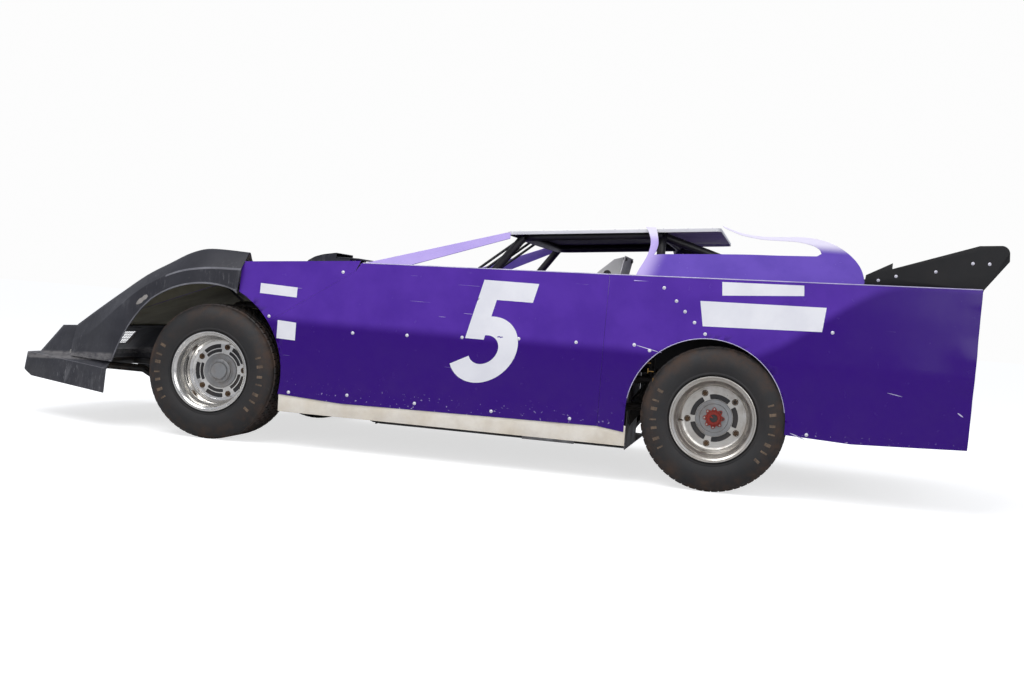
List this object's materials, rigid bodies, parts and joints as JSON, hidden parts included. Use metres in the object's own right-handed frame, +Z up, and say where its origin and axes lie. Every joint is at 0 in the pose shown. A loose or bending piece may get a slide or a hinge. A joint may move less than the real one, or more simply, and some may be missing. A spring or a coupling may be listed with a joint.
{
  "type": "dirt track stock car",
  "caption": "Open-wheel-arch dirt oval stock car: tube frame and cage, sheet body with plastic nose and flares, flat roof, tail spoiler, wide-five wheels.",
  "frame": {"origin": "on the ground under the middle of the car's length and width", "axes": "+X forward, +Y to the car's left, +Z up"},
  "size_m": [5.2148, 1.992, 1.3121],
  "materials": {
    "purple_paint": "gloss purple film on sheet aluminium",
    "lilac_paint": "gloss lilac film on sheet aluminium",
    "white_paint": "white sheet",
    "cream_paint": "off-white sheet, dusty",
    "black_plastic": "scuffed black moulded plastic",
    "black_sheet": "black painted sheet",
    "black_tube": "black powder coat",
    "sheet_aluminium": "bare sheet, scratched",
    "cast_aluminium": "cast, dusty",
    "cast_iron": "painted casting",
    "exhaust_steel": "heat stained",
    "hub_steel": "dull machined",
    "polished_aluminium": "polished",
    "satin_aluminium": "satin, dusty",
    "tyre_rubber": "dusty rubber"
  },
  "bodies": {
    "chassis": {"frame_rails": "black_tube", "frame_cross_members": "black_tube", "cage_hoops": "black_tube", "cage_halo": "black_tube", "cage_legs": "black_tube", "door_bars": "black_tube", "body_braces": "black_tube", "floor_pan": "sheet_aluminium", "firewall": "sheet_aluminium", "cockpit_walls": "sheet_aluminium", "deck": "purple_paint", "hood": "purple_paint", "hood_scoop": "black_plastic", "nose": "black_plastic", "flares": "black_plastic", "fenders": "purple_paint", "doors": "purple_paint", "quarters": "purple_paint", "rockers": "cream_paint", "roof": "white_paint", "windscreen_posts": "lilac_paint", "sails": "lilac_paint", "spoiler": "black_sheet", "bumpers": "black_tube", "engine_block": "cast_iron", "transmission": "cast_aluminium", "drive_shaft": "sheet_aluminium", "radiator": "cast_aluminium", "exhaust": "exhaust_steel", "fuel_cell": "black_sheet", "seat": "sheet_aluminium", "steering_wheel": "black_sheet", "front_arms": "black_tube", "rear_axle": "cast_aluminium", "rack_housing": "cast_aluminium", "coil_overs": "black_tube", "rear_links": "black_tube", "rear_tubs": "black_sheet", "screen_bars": "black_tube"},
    "rack": {"steering_rack": "exhaust_steel"},
    "knuckle_left": {"knuckle_left": "cast_iron"},
    "knuckle_right": {"knuckle_right": "cast_iron"},
    "wheel_front_left": {"tyre_front_left": "tyre_rubber", "rim_front_left": "polished_aluminium", "hub_front_left": "hub_steel"},
    "wheel_front_right": {"tyre_front_right": "tyre_rubber", "rim_front_right": "polished_aluminium", "hub_front_right": "hub_steel"},
    "wheel_rear_left": {"tyre_rear_left": "tyre_rubber", "rim_rear_left": "satin_aluminium", "hub_rear_left": "hub_steel"},
    "wheel_rear_right": {"tyre_rear_right": "tyre_rubber", "rim_rear_right": "satin_aluminium", "hub_rear_right": "hub_steel"}
  },
  "joints": [
    {"name": "steer_left", "type": "hinge", "parent": "chassis", "child": "knuckle_left", "pos_m": [1.317, 0.7, 0.355], "axis": [0, 0, 1], "range_deg": [-22, 22]},
    {"name": "steer_right", "type": "hinge", "parent": "chassis", "child": "knuckle_right", "pos_m": [1.317, -0.7, 0.355], "axis": [0, 0, 1], "range_deg": [-22, 22]},
    {"name": "rack_slide", "type": "slide", "parent": "chassis", "child": "rack", "axis": [0, 1, 0], "range_m": [-0.038, 0.038]},
    {"name": "spin_front_left", "type": "hinge", "parent": "knuckle_left", "child": "wheel_front_left", "pos_m": [1.317, 0.82, 0.355], "axis": [0, 1, 0], "continuous": true},
    {"name": "spin_front_right", "type": "hinge", "parent": "knuckle_right", "child": "wheel_front_right", "pos_m": [1.317, -0.82, 0.355], "axis": [0, 1, 0], "continuous": true},
    {"name": "spin_rear_left", "type": "hinge", "parent": "chassis", "child": "wheel_rear_left", "pos_m": [-1.299, 0.81, 0.355], "axis": [0, 1, 0], "continuous": true},
    {"name": "spin_rear_right", "type": "hinge", "parent": "chassis", "child": "wheel_rear_right", "pos_m": [-1.299, -0.81, 0.355], "axis": [0, 1, 0], "continuous": true}
  ],
  "couplings": [
    {"joint": "steer_right", "follows": "steer_left", "ratio": 1},
    {"joint": "rack_slide", "follows": "steer_left", "m_per_rad": 0.0976}
  ]
}
